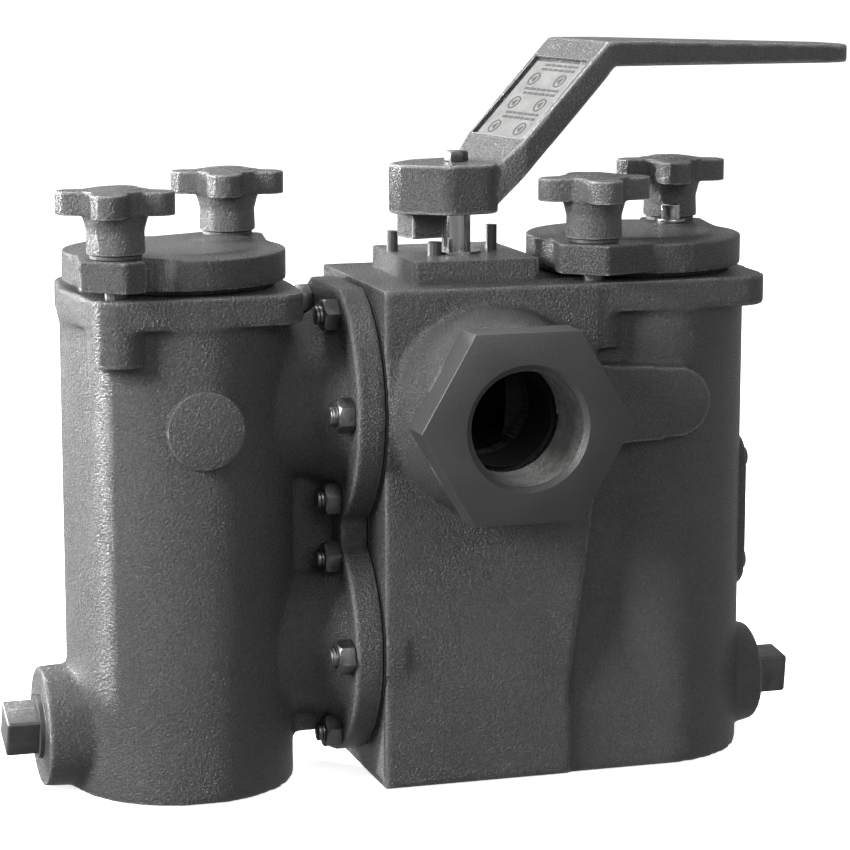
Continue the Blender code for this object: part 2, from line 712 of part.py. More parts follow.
def build_stem_seal():
    torus(0.0078, 0.0012, (0, 0, 0.2033), "stem_ring", RUBBER, 24, 8)
    hole = STEM_RADIUS + GAP
    bush = ring(hole, 0.0102, 0.2054, PAD_TOP + 0.0010, "Z", (0, 0, 0), 24, "stem_bush", STEEL)
    finish(bush)


def build_stop_pins():
    for index, (x, y, radius, top) in enumerate(PIN_PLACES):
        pin = rod(radius, PAD_TOP - 0.0057, top, "Z", (x, y, 0), 12, f"stop_pin_{index + 1}", BOLT)
        finish(pin)


def lever_profile():
    """Side outline of the arm and the grip, in the lever's own X and Z."""
    return [
        (0.0040, HUB_BOTTOM + 0.0010),
        (0.0080, HUB_BOTTOM + 0.0030),
        (0.0650, LEVER_TOP - 0.0100),
        (0.0800, LEVER_TOP - 0.0104),
        (LEVER_REACH, LEVER_TIP_TOP - 0.0080),
        (LEVER_REACH + 0.0015, LEVER_TIP_TOP - 0.0040),
        (LEVER_REACH, LEVER_TIP_TOP),
        (0.0630, LEVER_TOP),
        ARM_HEAD,
        ARM_FOOT,
    ]


def lever_plan():
    """Plan of the arm and the grip: narrow at the hub, wide, then down to the tip."""
    circles = []
    for side in (1, -1):
        circles.append((0.000, side * 0.0110, 0.0080))
        circles.append((0.020, side * 0.0215, 0.0035))
        circles.append((0.062, side * 0.0215, 0.0035))
        circles.append((LEVER_REACH - 0.010, side * 0.0060, 0.0090))
    return hull_of_circles(circles, 16)


def build_handle(axis):
    """Changeover lever: clamp hub, stop lug, sloping wide arm and flat grip."""
    circles = [(-0.0205, 0.002, 0.0095)]
    for side in (1, -1):
        circles.append((-0.0100, side * 0.0100, 0.0090))
        circles.append((0.0040, side * 0.0115, 0.0085))
    hub = prism_z(hull_of_circles(circles, 24), HUB_BOTTOM, HUB_TOP, "handle")
    arm = prism_y(lever_profile(), -LEVER_HALF, LEVER_HALF)
    combine(arm, [prism_z(lever_plan(), 0.20, 0.40)], "INTERSECT")
    lug = box((-0.0210, -0.0004, LUG_BOTTOM), (-0.0050, 0.0144, HUB_BOTTOM + 0.002))
    join(hub, arm, lug)
    cut(hub, rod(STEM_RADIUS + GAP, 0.22, STEM_TOP + GAP, "Z", (0, 0, 0), 24))
    cut(hub, rod(CLAMP_RADIUS + GAP, STEM_TOP, HUB_TOP + 0.01, "Z", (0, 0, 0), 16))
    cut(hub, plate_on_arm(LABEL_GROW, "recess"))
    hub.data.transform(Matrix.Rotation(LEVER_ANGLE, 4, "Z"))
    hub.parent = axis
    return finish(hub, 30)


def plate_on_arm(grow, name, spec=LABEL):
    """Plate laid in the sloping face of the arm, larger all round by grow."""
    foot = Vector((ARM_FOOT[0], 0, ARM_FOOT[1]))
    head = Vector((ARM_HEAD[0], 0, ARM_HEAD[1]))
    along = (head - foot).normalized()
    normal = Vector((-along.z, 0, along.x))
    base = foot + along * LABEL_MIDDLE - normal * (LABEL_DEPTH + grow)
    half_long = LABEL_HALF_LONG + grow
    half_wide = LABEL_HALF_WIDE + grow
    signs = ((-1, -1), (1, -1), (1, 1), (-1, 1))
    corners = [base + along * u * half_long + Vector((0, v * half_wide, 0)) for u, v in signs]
    return extrude_outline(corners, normal * (LABEL_THICK + 4 * grow), name, spec)


def build_label(axis):
    plate = plate_on_arm(0.0, "label_plate")
    plate.data.transform(Matrix.Rotation(LEVER_ANGLE, 4, "Z"))
    plate.parent = axis
    return plate


def build_clamp_bolt(axis):
    """Hexagon screw down through the hub on the stem's axis."""
    bolt = rod(CLAMP_RADIUS, STEM_TOP + 2 * GAP, HUB_TOP + 0.001, "Z", (0, 0, 0), 16, "clamp_bolt", BOLT)
    join(bolt, prism_z(hexagon(CLAMP_FLATS, (0, 0), 0.3), HUB_TOP + GAP, CLAMP_TOP, "head", BOLT))
    bolt.parent = axis
    return finish(bolt)


def build_chamber_fittings(centre_x, side, label, knob_angles):
    build_cover_ring(centre_x, f"{label}_cover_ring")
    build_basket(centre_x, f"{label}_basket")
    build_bail(centre_x, f"{label}_bail")
    build_drain_plug(centre_x, side, f"{label}_drain_plug")
    for (x, y), place, angle in zip(stud_places(centre_x), ("front", "rear"), knob_angles):
        build_cover_stud(x, y, f"{label}_{place}_stud")
        build_washer(x, y, f"{label}_{place}_washer")
        build_knob(x, y, math.radians(angle), f"{label}_{place}_knob")


def main():
    clear_scene()
    build_main_body()
    build_left_chamber()
    build_gasket()
    build_flange_studs()
    build_cover(LEFT_X, 1, "left_cover")
    build_cover(RIGHT_X, -1, "right_cover")
    build_vent_plug()
    build_chamber_fittings(LEFT_X, -1, "left", (-20, -17))
    build_chamber_fittings(RIGHT_X, 1, "right", (-3, -14))
    axis = rotor_empty()
    build_rotor(axis)
    build_seats()
    build_stem_seal()
    build_stop_pins()
    build_handle(axis)
    build_label(axis)
    build_clamp_bolt(axis)


main()
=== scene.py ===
# Duplex basket strainer: looks, materials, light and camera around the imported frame
import math
import json
import bpy
from mathutils import Euler, Matrix, Vector


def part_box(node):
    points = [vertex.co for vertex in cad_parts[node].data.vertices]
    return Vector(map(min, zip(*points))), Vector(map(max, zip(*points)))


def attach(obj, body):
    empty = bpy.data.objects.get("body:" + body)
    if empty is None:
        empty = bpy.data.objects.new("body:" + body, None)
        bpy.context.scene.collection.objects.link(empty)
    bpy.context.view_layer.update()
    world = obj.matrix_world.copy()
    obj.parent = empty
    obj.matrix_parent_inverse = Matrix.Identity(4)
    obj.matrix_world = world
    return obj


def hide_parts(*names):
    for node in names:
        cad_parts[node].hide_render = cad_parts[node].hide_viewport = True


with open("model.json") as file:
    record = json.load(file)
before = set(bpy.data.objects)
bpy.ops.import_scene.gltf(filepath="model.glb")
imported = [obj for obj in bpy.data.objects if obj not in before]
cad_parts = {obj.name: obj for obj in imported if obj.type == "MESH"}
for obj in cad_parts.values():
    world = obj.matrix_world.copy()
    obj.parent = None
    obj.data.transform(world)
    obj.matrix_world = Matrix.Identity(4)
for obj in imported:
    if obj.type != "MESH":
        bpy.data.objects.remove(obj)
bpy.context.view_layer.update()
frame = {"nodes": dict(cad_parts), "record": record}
nodes = frame["nodes"]
print("frame loaded:", len(nodes), "parts")


def middle(node):
    low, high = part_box(node)
    return (Vector(low) + Vector(high)) / 2


# shared places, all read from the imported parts
place = {
    "leftX": middle("left_basket").x,
    "rightX": middle("right_basket").x,
    "upperZ": middle("upper_ball").z,
    "lowerZ": middle("lower_ball").z,
    "drainZ": middle("left_drain_plug").z,
    "topZ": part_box("left_chamber")[1][2],
    "jointX": middle("flange_gasket").x + 0.00045,
    "plateX": middle("flange_gasket").x - 0.00045,
    "frontY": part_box("main_body")[0][1],
}


# small hand tools used by every piece
def clearSelection():
    bpy.ops.object.select_all(action="DESELECT")


def pick(piece):
    clearSelection()
    piece.select_set(True)
    bpy.context.view_layer.objects.active = piece


def settle(piece, name):
    pick(piece)
    bpy.ops.object.transform_apply(location=True, rotation=True, scale=True)
    piece.name = name
    piece.data.name = name
    return piece


axisTurn = {"x": (0, math.pi / 2, 0), "y": (-math.pi / 2, 0, 0), "z": (0, 0, 0)}
axisWay = {"x": Vector((1, 0, 0)), "y": Vector((0, 1, 0)), "z": Vector((0, 0, 1))}


def addRod(name, radius, start, end, axis="z", at=(0, 0, 0), sides=96, endRadius=None, roll=0.0):
    # start and end are measured along the axis, and at gives the other two coordinates
    way = axisWay[axis]
    centre = Vector(at) - way * Vector(at).dot(way) + way * (start + end) / 2
    turn = Matrix.Rotation(roll, 3, way) @ Euler(axisTurn[axis]).to_matrix()
    bpy.ops.mesh.primitive_cone_add(
        vertices=sides, radius1=radius, radius2=radius if endRadius is None else endRadius,
        depth=abs(end - start), location=centre, rotation=turn.to_euler())
    return settle(bpy.context.object, name)


def addBox(name, low, high):
    low, high = Vector(low), Vector(high)
    bpy.ops.mesh.primitive_cube_add(size=1, location=(low + high) / 2, scale=high - low)
    return settle(bpy.context.object, name)


def gather(name, pieces):
    clearSelection()
    for piece in pieces:
        piece.select_set(True)
    bpy.context.view_layer.objects.active = pieces[0]
    bpy.ops.object.join()
    return settle(bpy.context.object, name)


def wrapHull(name, pieces):
    # one tight skin around all the pieces
    piece = gather(name, pieces)
    bpy.ops.object.mode_set(mode="EDIT")
    bpy.ops.mesh.select_all(action="SELECT")
    bpy.ops.mesh.convex_hull()
    bpy.ops.object.mode_set(mode="OBJECT")
    return piece


def carve(piece, tools, operation="DIFFERENCE"):
    for tool in tools:
        pick(piece)
        step = piece.modifiers.new("carve", "BOOLEAN")
        step.operation = operation
        step.solver = "MANIFOLD"
        step.object = tool
        bpy.ops.object.modifier_apply(modifier="carve")
        bpy.data.objects.remove(tool, do_unlink=True)
    return piece


def castSkin(piece, voxel, rounds, factor=0.5):
    # one closed skin with cast fillets at inner corners and softened outer edges
    pick(piece)
    step = piece.modifiers.new("skin", "REMESH")
    step.mode = "VOXEL"
    step.voxel_size = voxel
    bpy.ops.object.modifier_apply(modifier="skin")
    step = piece.modifiers.new("soften", "SMOOTH")
    step.factor = factor
    step.iterations = rounds
    bpy.ops.object.modifier_apply(modifier="soften")
    return piece


def bevelAll(piece, width, segments=3, angle=30):
    pick(piece)
    step = piece.modifiers.new("edges", "BEVEL")
    step.width = width
    step.segments = segments
    step.limit_method = "ANGLE"
    step.angle_limit = math.radians(angle)
    bpy.ops.object.modifier_apply(modifier="edges")
    return piece


def shade(piece, angle=35):
    pick(piece)
    bpy.ops.object.shade_smooth_by_angle(angle=math.radians(angle))
    return piece


def dress(piece, paint, body, slotName, *replaced):
    piece.data.materials.clear()
    piece.data.materials.append(paint)
    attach(piece, body)
    if replaced:
        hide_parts(*replaced)
    return piece


# materials, all procedural on object coordinates
paintLook = {"base": (0.050, 0.050, 0.051), "edgeWearAndHighlight": (0.30, 0.30, 0.30), "roughness": 0.25, "grain": 900.0,
             "depth": 0.00130}


def newMaterial(name):
    material = bpy.data.materials.new(name)
    material.use_nodes = True
    tree = material.node_tree
    return material, tree, tree.nodes["Principled BSDF"]


def link(tree, a, out, b, into):
    tree.links.new(a.outputs[out], b.inputs[into])


def noise(tree, coords, scale, detail=4.0, roughness=0.55):
    node = tree.nodes.new("ShaderNodeTexNoise")
    node.inputs["Scale"].default_value = scale
    node.inputs["Detail"].default_value = detail
    node.inputs["Roughness"].default_value = roughness
    link(tree, coords, "Object", node, "Vector")
    return node


def ramp(tree, source, out, stops):
    node = tree.nodes.new("ShaderNodeValToRGB")
    elements = node.color_ramp.elements
    elements[0].position, elements[0].color = stops[0][0], (*stops[0][1], 1)
    elements[1].position, elements[1].color = stops[-1][0], (*stops[-1][1], 1)
    for position, colour in stops[1:-1]:
        element = elements.new(position)
        element.color = (*colour, 1)
    link(tree, source, out, node, "Fac")
    return node


def grey(v):
    return (v, v, v)


def castPaint(name, base, edgeWearAndHighlight, roughness, grain, depth, edge=0.52):
    # enamel over a sand-cast skin: pebbly bump, uneven tone, rubbed edges lightened partly as painted
    # highlight
    material, tree, shader = newMaterial(name)
    coords = tree.nodes.new("ShaderNodeTexCoord")
    broad = noise(tree, coords, 34.0, 5.0)
    pebble = noise(tree, coords, grain, 3.0, 0.6)
    fine = noise(tree, coords, grain * 2.6, 2.0, 0.6)
    tone = ramp(tree, broad, "Fac", [(0.30, [c * 0.90 for c in base]), (0.70, [c * 1.10 for c in base])])
    speck = ramp(tree, fine, "Fac", [(0.38, grey(0.80)), (0.66, grey(1.30))])
    mixed = tree.nodes.new("ShaderNodeMix")
    mixed.data_type = "RGBA"
    mixed.blend_type = "MULTIPLY"
    mixed.inputs["Factor"].default_value = 1.0
    tree.links.new(tone.outputs["Color"], mixed.inputs["A"])
    tree.links.new(speck.outputs["Color"], mixed.inputs["B"])
    if edgeWearAndHighlight is None:
        tree.links.new(mixed.outputs["Result"], shader.inputs["Base Color"])
    else:
        rubAndHighlightEdges(tree, shader, mixed, pebble, edgeWearAndHighlight, edge)
    gloss = ramp(tree, fine, "Fac", [(0.35, grey(roughness * 0.75)), (0.70, grey(roughness * 1.3))])
    tree.links.new(gloss.outputs["Color"], shader.inputs["Roughness"])
    coarse = tree.nodes.new("ShaderNodeBump")
    coarse.inputs["Distance"].default_value = depth
    coarse.inputs["Strength"].default_value = 1.0
    link(tree, pebble, "Fac", coarse, "Height")
    small = tree.nodes.new("ShaderNodeBump")
    small.inputs["Distance"].default_value = depth * 0.35
    small.inputs["Strength"].default_value = 1.0
    link(tree, fine, "Fac", small, "Height")
    link(tree, coarse, "Normal", small, "Normal")
    link(tree, small, "Normal", shader, "Normal")
    return material


def rubAndHighlightEdges(tree, shader, colour, pebble, edgeWearAndHighlight, edge):
    # paint rubbed thin along the outer edges, broken up by the pebble, and lightened as a painted highlight
    # on the sharp edges
    geometry = tree.nodes.new("ShaderNodeNewGeometry")
    rubAndHighlight = ramp(tree, geometry, "Pointiness", [(edge, grey(0.0)), (edge + 0.045, grey(1.0))])
    broken = tree.nodes.new("ShaderNodeMath")
    broken.operation = "MULTIPLY"
    tree.links.new(rubAndHighlight.outputs["Color"], broken.inputs[0])
    tree.links.new(pebble.outputs["Fac"], broken.inputs[1])
    final = tree.nodes.new("ShaderNodeMix")
    final.data_type = "RGBA"
    final.inputs["B"].default_value = (*edgeWearAndHighlight, 1)
    tree.links.new(broken.outputs["Value"], final.inputs["Factor"])
    tree.links.new(colour.outputs["Result"], final.inputs["A"])
    tree.links.new(final.outputs["Result"], shader.inputs["Base Color"])


def metal(name, base, roughness, stretch=(1, 1, 1), scale=900.0, depth=0.00003, metallic=1.0, darkestStainAndReflection=0.72):
    # tooled or plated metal with fine scratches, drawn out along the tool's path; the stain tone is stretched
    # the same way, and on bright steel its dark streaks are painted reflection
    material, tree, shader = newMaterial(name)
    shader.inputs["Metallic"].default_value = metallic
    coords = tree.nodes.new("ShaderNodeTexCoord")
    mapping = tree.nodes.new("ShaderNodeMapping")
    mapping.inputs["Scale"].default_value = stretch
    link(tree, coords, "Object", mapping, "Vector")
    grain = tree.nodes.new("ShaderNodeTexNoise")
    grain.inputs["Scale"].default_value = scale
    grain.inputs["Detail"].default_value = 3.0
    link(tree, mapping, "Vector", grain, "Vector")
    stainAndReflection = noise(tree, coords, 160.0, 4.0)
    link(tree, mapping, "Vector", stainAndReflection, "Vector")
    dark, pale = [c * darkestStainAndReflection for c in base], [min(1, c * 1.15) for c in base]
    tone = ramp(tree, stainAndReflection, "Fac", [(0.30, dark), (0.68, pale)])
    tree.links.new(tone.outputs["Color"], shader.inputs["Base Color"])
    gloss = ramp(tree, grain, "Fac", [(0.3, grey(roughness * 0.7)), (0.7, grey(roughness * 1.35))])
    tree.links.new(gloss.outputs["Color"], shader.inputs["Roughness"])
    bump = tree.nodes.new("ShaderNodeBump")
    bump.inputs["Distance"].default_value = depth
    link(tree, grain, "Fac", bump, "Height")
    link(tree, bump, "Normal", shader, "Normal")
    return material


def dull(name, base, roughness, scale, depth):
    # rubber, fibre sheet or polymer, and the near-black painted shade laid in the port bores
    material, tree, shader = newMaterial(name)
    coords = tree.nodes.new("ShaderNodeTexCoord")
    grain = noise(tree, coords, scale, 5.0)
    tone = ramp(tree, grain, "Fac", [(0.3, [c * 0.75 for c in base]), (0.7, [min(1, c * 1.2) for c in base])])
    tree.links.new(tone.outputs["Color"], shader.inputs["Base Color"])
    shader.inputs["Roughness"].default_value = roughness
    bump = tree.nodes.new("ShaderNodeBump")
    bump.inputs["Distance"].default_value = depth
    link(tree, grain, "Fac", bump, "Height")
    link(tree, bump, "Normal", shader, "Normal")
    return material


# edge colours, lightest on the lever, stand partly for rubbed paint and partly for painted highlight
bodyPaint = castPaint("bodyPaint", paintLook["base"], paintLook["edgeWearAndHighlight"], paintLook["roughness"],
                      paintLook["grain"], paintLook["depth"])
knobPaint = castPaint("knobPaint", (0.070, 0.070, 0.070), (0.50, 0.50, 0.50), 0.25, 950.0, 0.00095, 0.52)
leverPaint = castPaint("leverPaint", (0.066, 0.066, 0.066), (0.62, 0.62, 0.62), 0.26, 950.0, 0.00110, 0.512)
# hex face paint: smoother and glossier than the body, its base darker as painted shade on the front face
shadedPortPaint = castPaint("shadedPortPaint", (0.036, 0.036, 0.036), None, 0.44, 1100.0, 0.00014)
platedSteel = metal("platedSteel", (0.18, 0.18, 0.18), 0.44, depth=0.00008, darkestStainAndReflection=0.5)
# port thread metal, its base darkened well below bare iron as painted shade inside the bore
shadedBoreSteel = metal("shadedBoreSteel", (0.115, 0.115, 0.112), 0.40)
darkSteel = metal("darkSteel", (0.09, 0.09, 0.09), 0.45, metallic=0.6)
# chrome for the stem and vent plug: its long dark streaks are painted reflection
brightSteel = metal("brightSteel", (0.80, 0.80, 0.79), 0.16, stretch=(1, 1, 0.04), darkestStainAndReflection=0.22)
stainless = metal("stainless", (0.55, 0.55, 0.54), 0.30)
valveSteel = metal("valveSteel", (0.10, 0.10, 0.095), 0.42, metallic=0.8)
rubber = dull("rubber", (0.02, 0.02, 0.02), 0.7, 700.0, 0.00004)
fibre = dull("fibre", (0.035, 0.035, 0.033), 0.85, 900.0, 0.00008)
# near-black sheet colour for the port bores: painted shade where the bore lies in shadow
paintedShadeBlack = dull("paintedShadeBlack", (0.006, 0.006, 0.006), 0.9, 500.0, 0.00010)
polymer = dull("polymer", (0.05, 0.05, 0.048), 0.45, 300.0, 0.00002)

slotPaint = {"fastener": platedSteel, "bright_steel": brightSteel, "valve_steel": valveSteel,
             "basket": stainless, "seal": rubber, "seat": polymer, "gasket": fibre, "casting": bodyPaint,
             "cover": bodyPaint, "knob": knobPaint, "lever": leverPaint, "plug": darkSteel,
             "label": platedSteel}
for part in frame["record"]["subparts"]:
    dark = part["node"].endswith("_washer") or part["node"].startswith("stop_pin")
    for slotPlace in nodes[part["node"]].material_slots:
        slotPlace.material = darkSteel if dark else slotPaint[part["material_slot"]]
print("materials made")


# the two castings, each one skin over its joined shapes
shell = {"chamberRadius": 0.0475, "bore": 0.0385, "lowerBore": 0.0345, "seatZ": 0.128, "floor": 0.009,
         "flangeDepth": 0.013, "studX": 0.0313, "studY": 0.0364, "studBoss": 0.012, "studBossLow": 0.182,
         "studHole": 0.0051, "neck": 0.033, "neckBore": 0.021, "webHalf": 0.011, "upperLobe": 0.054,
         "lowerLobe": 0.050, "waist": 0.026, "plate": 0.012, "voxel": 0.00125, "rounds": 4, "sunk": 0.002,
         "flangeRound": 0.0482, "nearCorner": 0.033, "nearRound": 0.013, "farCorner": 0.0305,
         "farRound": 0.014, "holeLow": 0.191, "drainBore": 0.0135, "drainFrom": 0.030, "drainTo": 0.070,
         "bossRoot": 0.0262, "past": 0.01, "wide": 0.1}
leftCast = {"neckFrom": 0.02, "neckTo": 0.004, "flareLow": 0.0335, "flareHigh": 0.041, "flareBack": 0.010,
            "webFrom": 0.025, "webLow": 0.017, "webHigh": 0.19, "webTo": 0.003, "bossTip": 0.0250,
            "bossTo": 0.060, "disc": 0.0160, "discFront": -0.0508, "discBack": -0.030, "discX": 0.0015,
            "discZ": 0.156, "discEdge": 0.0006}


def topFlange(name, centreX):
    low, high = place["topZ"] - shell["flangeDepth"], place["topZ"]
    near, far = shell["nearCorner"], shell["farCorner"]
    rounds = [(centreX, 0.0, shell["flangeRound"])]
    rounds.append((centreX + near, -near, shell["nearRound"]))
    rounds.append((centreX - far, far, shell["farRound"]))
    for way in (-1, 1):
        rounds.append((centreX + way * shell["studX"], way * shell["studY"], shell["studBoss"]))
    return wrapHull(name, [addRod("round", r, low, high, "z", (x, y, 0), 64) for x, y, r in rounds])


def lobePlate(name, left, right):
    top = place["topZ"] - shell["sunk"]
    upper = addRod("upper", shell["upperLobe"], left, right, "x", (0, 0, place["upperZ"]), 128)
    lower = addRod("lower", shell["lowerLobe"], left, right, "x", (0, 0, place["lowerZ"]), 128)
    half = shell["waist"]
    waist = addBox("waist", (left, -half, place["lowerZ"]), (right, half, place["upperZ"]))
    past, wide = shell["past"], shell["wide"]
    trim = addBox("trim", (left - past, -wide, top), (right + past, wide, top + 0.02))
    upper = carve(upper, [trim])
    return gather(name, [upper, lower, waist])


def studBosses(centreX):
    made = []
    for way in (-1, 1):
        at = (centreX + way * shell["studX"], way * shell["studY"], 0)
        top = place["topZ"] - shell["sunk"]
        made.append(addRod("boss", shell["studBoss"], shell["studBossLow"], top, "z", at, 48))
    return made


def chamberCutters(centreX, way):
    at = (centreX, 0, 0)
    above = place["topZ"] + shell["past"]
    made = [addRod("bore", shell["bore"], shell["seatZ"], above, "z", at)]
    made.append(addRod("lowerBore", shell["lowerBore"], shell["floor"], shell["seatZ"] + 0.001, "z", at))
    for side in (-1, 1):
        hole = (centreX + side * shell["studX"], side * shell["studY"], 0)
        made.append(addRod("hole", shell["studHole"], shell["holeLow"], above, "z", hole, 32))
    ends = sorted((centreX + way * shell["drainFrom"], centreX + way * shell["drainTo"]))
    made.append(addRod("drain", shell["drainBore"], ends[0], ends[1], "x", (0, 0, place["drainZ"]), 48))
    return made


def buildLeftCast():
    look = leftCast
    x = place["leftX"]
    left, right = place["plateX"] - shell["plate"], place["plateX"]
    parts = [addRod("tank", shell["chamberRadius"], 0, place["topZ"] - shell["sunk"], "z", (x, 0, 0), 160)]
    parts.append(topFlange("topFlange", x))
    parts += studBosses(x)
    parts.append(lobePlate("plate", left, right))
    for height in (place["upperZ"], place["lowerZ"]):
        at = (0, 0, height)
        parts.append(addRod("neck", shell["neck"], x + look["neckFrom"], right - look["neckTo"], "x", at))
        start, end = left - look["flareBack"], left + shell["sunk"]
        parts.append(addRod("flare", look["flareLow"], start, end, "x", at, 96, look["flareHigh"]))
    parts.append(addBox("web", (x + look["webFrom"], -shell["webHalf"], look["webLow"]),
                        (right - look["webTo"], shell["webHalf"], look["webHigh"])))
    parts.append(addRod("drainBoss", look["bossTip"], x - look["bossTo"], x - shell["drainFrom"], "x",
                        (0, 0, place["drainZ"]), 96, shell["bossRoot"]))
    cast = castSkin(gather("left_cast", parts), shell["voxel"], shell["rounds"])
    spot = (x + look["discX"], 0, look["discZ"])
    disc = addRod("disc", look["disc"], look["discFront"], look["discBack"], "y", spot, 96)
    carve(cast, [bevelAll(disc, look["discEdge"])], "UNION")
    cutters = chamberCutters(x, -1)
    for height in (place["upperZ"], place["lowerZ"]):
        cutters.append(addRod("neckBore", shell["neckBore"], x, right + 0.005, "x", (0, 0, height), 64))
    wide = shell["wide"]
    cutters.append(addBox("jointFace", (right, -wide, -shell["past"]), (right + 0.02, wide, 0.3)))
    carve(cast, cutters)
    return dress(shade(cast), bodyPaint, "housing", "casting", "left_chamber")


buildLeftCast()
print("left casting made")

block = {"half": 0.049, "foot": 0.0362, "kneeZ": 0.042, "shoulder": 0.0465, "shoulderZ": 0.124,
         "padTop": 0.2184, "padX": 0.0245, "padFront": -0.028, "padRear": 0.032, "padRound": 0.003,
         "hexFlats": 0.0774, "hexDepth": 0.018, "portBore": 0.0230, "portClear": 0.0212,
         "portWall": 0.0008, "mouthIn": 0.0006, "mouthOut": 0.0052, "mouthDeep": 0.0020,
         "bulgeTip": 0.0392, "bulgeRoot": 0.0445, "webFrom": 0.030, "webHalf": 0.043,
         "webInset": 0.012, "apronHalf": 0.0473, "apronTop": 0.030, "apronFrom": 0.055, "apronTo": 0.062,
         "plate": 0.009, "ribFront": -0.0535, "ribBack": -0.020, "ribTip": 0.0150, "ribTipX": 0.0805,
         "ribLow": 0.1400, "ribHigh": 0.1765, "bossTip": 0.0215, "bossTo": 0.0560, "sideY": -0.004,
         "sideZ": (0.124, 0.078), "sideRound": 0.0105, "sideHead": 0.0045, "valveBore": 0.0315,
         "valveTo": 0.0145, "seatBore": 0.0263, "seatTo": 0.0285, "stemBore": 0.0068, "bushBore": 0.0105,
         "bushLow": 0.2050}


def housingBlock():
    half = block["half"]
    piece = addBox("block", (place["jointX"], -half, 0), (block["shoulder"], half, place["topZ"]))
    bpy.ops.object.mode_set(mode="EDIT")
    bpy.ops.mesh.select_all(action="SELECT")
    rise = block["shoulderZ"] - block["kneeZ"]
    run = block["shoulder"] - block["foot"]
    bpy.ops.mesh.bisect(plane_co=(block["foot"], 0, block["kneeZ"]), plane_no=(rise, 0, -run),
                        use_fill=True, clear_outer=True)
    bpy.ops.object.mode_set(mode="OBJECT")
    foot = addBox("foot", (0.0, -half, 0), (block["foot"] - 0.0004, half, block["kneeZ"] + 0.006))
    return [piece, foot]


def portBulge(way, height):
    near = way * (block["half"] - 0.006)
    back = way * (abs(place["frontY"]) - block["hexDepth"] + 0.003)
    tip, root = block["bulgeTip"], block["bulgeRoot"]
    if way < 0:
        return addRod("bulge", tip, back, near, "y", (0, 0, height), 96, root)
    return addRod("bulge", root, near, back, "y", (0, 0, height), 96, tip)


def websAndRib(x):
    start, inset, half = block["webFrom"], block["webInset"], block["webHalf"]
    made = [addBox("web", (start, -half, 0), (x - inset, half, place["topZ"] - 0.001))]
    wide = block["apronHalf"]
    apron = [addBox("wide", (start, -wide, 0), (x - 0.001, wide, block["apronTop"]))]
    apron.append(addBox("narrow", (start, -half, block["apronFrom"]), (x - inset, half, block["apronTo"])))
    made.append(wrapHull("apron", apron))
    front, back = block["ribFront"], block["ribBack"]
    spot = (block["ribTipX"], 0, place["upperZ"])
    rib = [addRod("tip", block["ribTip"], front, back, "y", spot, 64)]
    rib.append(addBox("root", (start, front, block["ribLow"]), (start + 0.004, back, block["ribHigh"])))
    made.append(wrapHull("rib", rib))
    return made


def mainCutters(x):
    made = chamberCutters(x, 1)
    past, wide, joint = shell["past"], shell["wide"], place["jointX"]
    for height in (place["upperZ"], place["lowerZ"]):
        at = (0, 0, height)
        made.append(addRod("valve", block["valveBore"], joint - past, block["valveTo"], "x", at, 64))
        made.append(addRod("seat", block["seatBore"], 0.010, block["seatTo"], "x", at, 64))
        made.append(addRod("passage", shell["neckBore"], 0.020, x, "x", at, 64))
    made.append(addRod("bush", block["bushBore"], block["bushLow"], 0.23, "z", (0, 0, 0), 48))
    made.append(addRod("stemBore", block["stemBore"], place["upperZ"], 0.21, "z", (0, 0, 0), 48))
    for way, height in ((-1, place["upperZ"]), (1, place["lowerZ"])):
        at = (0, 0, height)
        near, far = sorted((0.0, way * 0.12))
        made.append(addRod("clear", block["portClear"], near, far, "y", at, 64))
        near, far = sorted((way * 0.060, way * 0.12))
        made.append(addRod("mouth", block["portBore"] + block["portWall"], near, far, "y", at, 96))
    made.append(addBox("jointFace", (joint - 0.02, -wide, -past), (joint, wide, 0.3)))
    return made


def buildMainCast():
    x = place["rightX"]
    topZ = place["topZ"]
    parts = housingBlock() + websAndRib(x)
    parts.append(addRod("tank", shell["chamberRadius"], 0, topZ - shell["sunk"], "z", (x, 0, 0), 160))
    parts.append(topFlange("topFlange", x))
    parts += studBosses(x)
    corners = [addRod("corner", block["padRound"], topZ - 0.003, block["padTop"], "z", (cx, cy, 0), 32)
               for cx in (-block["padX"], block["padX"]) for cy in (block["padFront"], block["padRear"])]
    pad = bevelAll(wrapHull("pad", corners), 0.0008)
    parts.append(lobePlate("plate", place["jointX"], place["jointX"] + block["plate"]))
    parts.append(addRod("drainBoss", shell["bossRoot"], x + shell["drainFrom"], x + block["bossTo"], "x",
                        (0, 0, place["drainZ"]), 96, block["bossTip"]))
    parts.append(portBulge(-1, place["upperZ"]))
    parts.append(portBulge(1, place["lowerZ"]))
    outer = x + shell["chamberRadius"]
    spots = [(0, block["sideY"], z) for z in block["sideZ"]]
    ends = [addRod("end", block["sideRound"], outer - 0.010, outer + 0.002, "x", at, 48) for at in spots]
    parts.append(wrapHull("sidePad", ends))
    cast = castSkin(gather("main_cast", parts), shell["voxel"] * 1.04, shell["rounds"])
    extras = [pad]
    for at in spots:
        head = addRod("head", block["sideHead"], outer - 0.008, outer + 0.005, "x", at, 32)
        extras.append(bevelAll(head, 0.0010))
    carve(cast, extras, "UNION")
    carve(cast, mainCutters(x))
    return dress(shade(cast), bodyPaint, "housing", "casting", "main_body")


